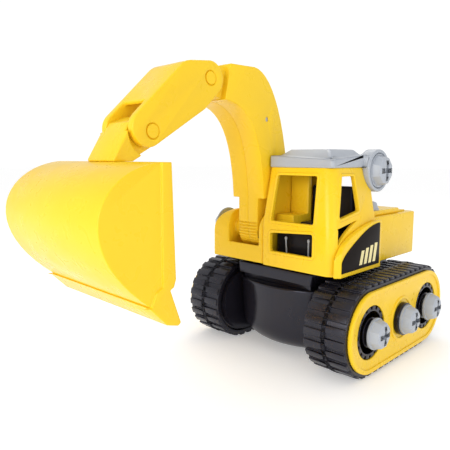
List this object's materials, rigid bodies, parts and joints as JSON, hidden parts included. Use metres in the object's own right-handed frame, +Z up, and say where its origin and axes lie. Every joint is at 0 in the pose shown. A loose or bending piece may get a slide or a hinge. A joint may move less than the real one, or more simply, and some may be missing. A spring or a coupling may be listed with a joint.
{
  "type": "toy excavator",
  "caption": "Toy tracked excavator with a slewing house and cab, a boom, a stick and a wide bucket on friction pivots, and hub wheels that turn inside the tracks.",
  "frame": {"origin": "on the ground, under the middle of the toy's bounding box in its rest pose", "axes": "+X forward from the tracks to the bucket, +Y to the left side, where the cab is, +Z up"},
  "size_m": [0.231, 0.1358, 0.1656],
  "materials": {
    "yellow_plastic": "warm yellow moulded ABS, satin gloss",
    "black_plastic": "black moulded ABS, gloss",
    "grey_plastic": "light blue-grey moulded ABS, satin",
    "belt_rubber": "matte black soft plastic belt",
    "badge_black": "black sticker film",
    "seat_black": "black moulded seat",
    "bolt_steel": "zinc-plated steel"
  },
  "bodies": {
    "chassis": {"belly_bowl": "black_plastic", "deck_plate": "black_plastic", "slew_ring": "black_plastic", "slew_screw": "grey_plastic", "track_frame_left": "black_plastic", "track_frame_right": "black_plastic", "belt_left": "belt_rubber", "belt_right": "belt_rubber", "track_cover_left": "yellow_plastic", "track_cover_right": "yellow_plastic", "track_screws_left": "grey_plastic", "track_screws_right": "grey_plastic", "cover_collars": "black_plastic", "frame_bolts": "bolt_steel"},
    "wheel_front_left": {"wheel_front_left": "black_plastic"},
    "wheel_rear_left": {"wheel_rear_left": "black_plastic"},
    "wheel_front_right": {"wheel_front_right": "black_plastic"},
    "wheel_rear_right": {"wheel_rear_right": "black_plastic"},
    "house": {"floor_pan": "black_plastic", "house_shell": "yellow_plastic", "cab_frame": "yellow_plastic", "side_skirt": "yellow_plastic", "badge_plate": "badge_black", "hood_panel": "yellow_plastic", "hood_screw": "grey_plastic", "roof": "grey_plastic", "roof_screw": "grey_plastic", "seat_base": "seat_black", "seat_cushion": "seat_black", "console": "yellow_plastic", "control_levers": "grey_plastic", "boom_screw": "grey_plastic"},
    "boom": {"boom_half_left": "yellow_plastic", "boom_half_right": "yellow_plastic", "boom_bolts": "bolt_steel"},
    "stick": {"stick_shell": "yellow_plastic", "elbow_pin": "yellow_plastic", "bucket_pin": "yellow_plastic"},
    "bucket": {"bucket_lug": "yellow_plastic", "bucket_shell": "yellow_plastic"}
  },
  "joints": [
    {"name": "slew", "type": "hinge", "parent": "chassis", "child": "house", "pos_m": [-0.0567, 0, 0.0537], "axis": [0, 0, 1], "continuous": true},
    {"name": "boom_lift", "type": "hinge", "parent": "house", "child": "boom", "pos_m": [-0.0232, -0.0183, 0.0725], "axis": [0, -1, 0], "range_deg": [-25, 15]},
    {"name": "stick_swing", "type": "hinge", "parent": "boom", "child": "stick", "pos_m": [0.0319, -0.0183, 0.1557], "axis": [0, -1, 0], "range_deg": [-10, 15]},
    {"name": "bucket_curl", "type": "hinge", "parent": "stick", "child": "bucket", "pos_m": [0.0686, -0.0183, 0.1277], "axis": [0, -1, 0], "range_deg": [-20, 45]},
    {"name": "spin_front_left", "type": "hinge", "parent": "chassis", "child": "wheel_front_left", "pos_m": [-0.0229, 0.045, 0.025], "axis": [0, 1, 0], "continuous": true},
    {"name": "spin_rear_left", "type": "hinge", "parent": "chassis", "child": "wheel_rear_left", "pos_m": [-0.0905, 0.045, 0.025], "axis": [0, 1, 0], "continuous": true},
    {"name": "spin_front_right", "type": "hinge", "parent": "chassis", "child": "wheel_front_right", "pos_m": [-0.0229, -0.045, 0.025], "axis": [0, 1, 0], "continuous": true},
    {"name": "spin_rear_right", "type": "hinge", "parent": "chassis", "child": "wheel_rear_right", "pos_m": [-0.0905, -0.045, 0.025], "axis": [0, 1, 0], "continuous": true}
  ],
  "couplings": [
    {"joint": "spin_rear_left", "follows": "spin_front_left", "ratio": 1},
    {"joint": "spin_rear_right", "follows": "spin_front_right", "ratio": 1}
  ]
}
